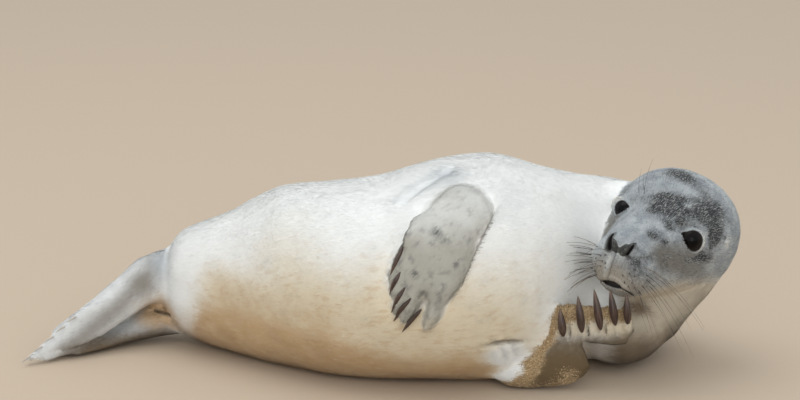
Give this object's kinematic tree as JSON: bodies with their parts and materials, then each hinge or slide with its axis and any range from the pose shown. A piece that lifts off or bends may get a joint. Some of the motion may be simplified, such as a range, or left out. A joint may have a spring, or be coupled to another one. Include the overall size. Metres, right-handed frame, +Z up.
{
  "type": "grey seal pup",
  "caption": "Life-size grey seal pup lying on its side with its head raised and turned, one fore flipper over its flank; a still figure.",
  "frame": {"origin": "on the floor, under the middle of the whole animal's box", "axes": "+X from the hind flippers to the head, +Y from belly to back, +Z up"},
  "size_m": [1.0012, 0.3594, 0.2981],
  "materials": {
    "body_coat": "short smooth cream-white fur, faintly spotted grey",
    "head_coat": "short smooth blue-grey fur with dark dapples",
    "fore_flipper_coat": "short light grey fur",
    "hind_flipper_coat": "short grey fur",
    "eye": "wet, glossy, near black",
    "nose": "bare damp dark grey skin",
    "claw": "smooth dark brown horn"
  },
  "bodies": {
    "root": {"head": "head_coat", "lower_jaw": "head_coat", "nose": "nose", "eye_left": "eye", "eye_right": "eye", "rump": "body_coat", "loin": "body_coat", "belly": "body_coat", "chest": "body_coat", "neck": "body_coat", "fore_flipper_right": "fore_flipper_coat", "claw_right_1": "claw", "claw_right_2": "claw", "claw_right_3": "claw", "claw_right_4": "claw", "claw_right_5": "claw", "fore_flipper_left": "fore_flipper_coat", "claw_left_1": "claw", "claw_left_2": "claw", "claw_left_3": "claw", "claw_left_4": "claw", "claw_left_5": "claw", "tail": "body_coat", "hind_flipper_left": "hind_flipper_coat", "hind_claw_left_1": "claw", "hind_claw_left_2": "claw", "hind_claw_left_3": "claw", "hind_claw_left_4": "claw", "hind_claw_left_5": "claw", "hind_flipper_right": "hind_flipper_coat", "hind_claw_right_1": "claw", "hind_claw_right_2": "claw", "hind_claw_right_3": "claw", "hind_claw_right_4": "claw", "hind_claw_right_5": "claw"}
  },
  "joints": []
}
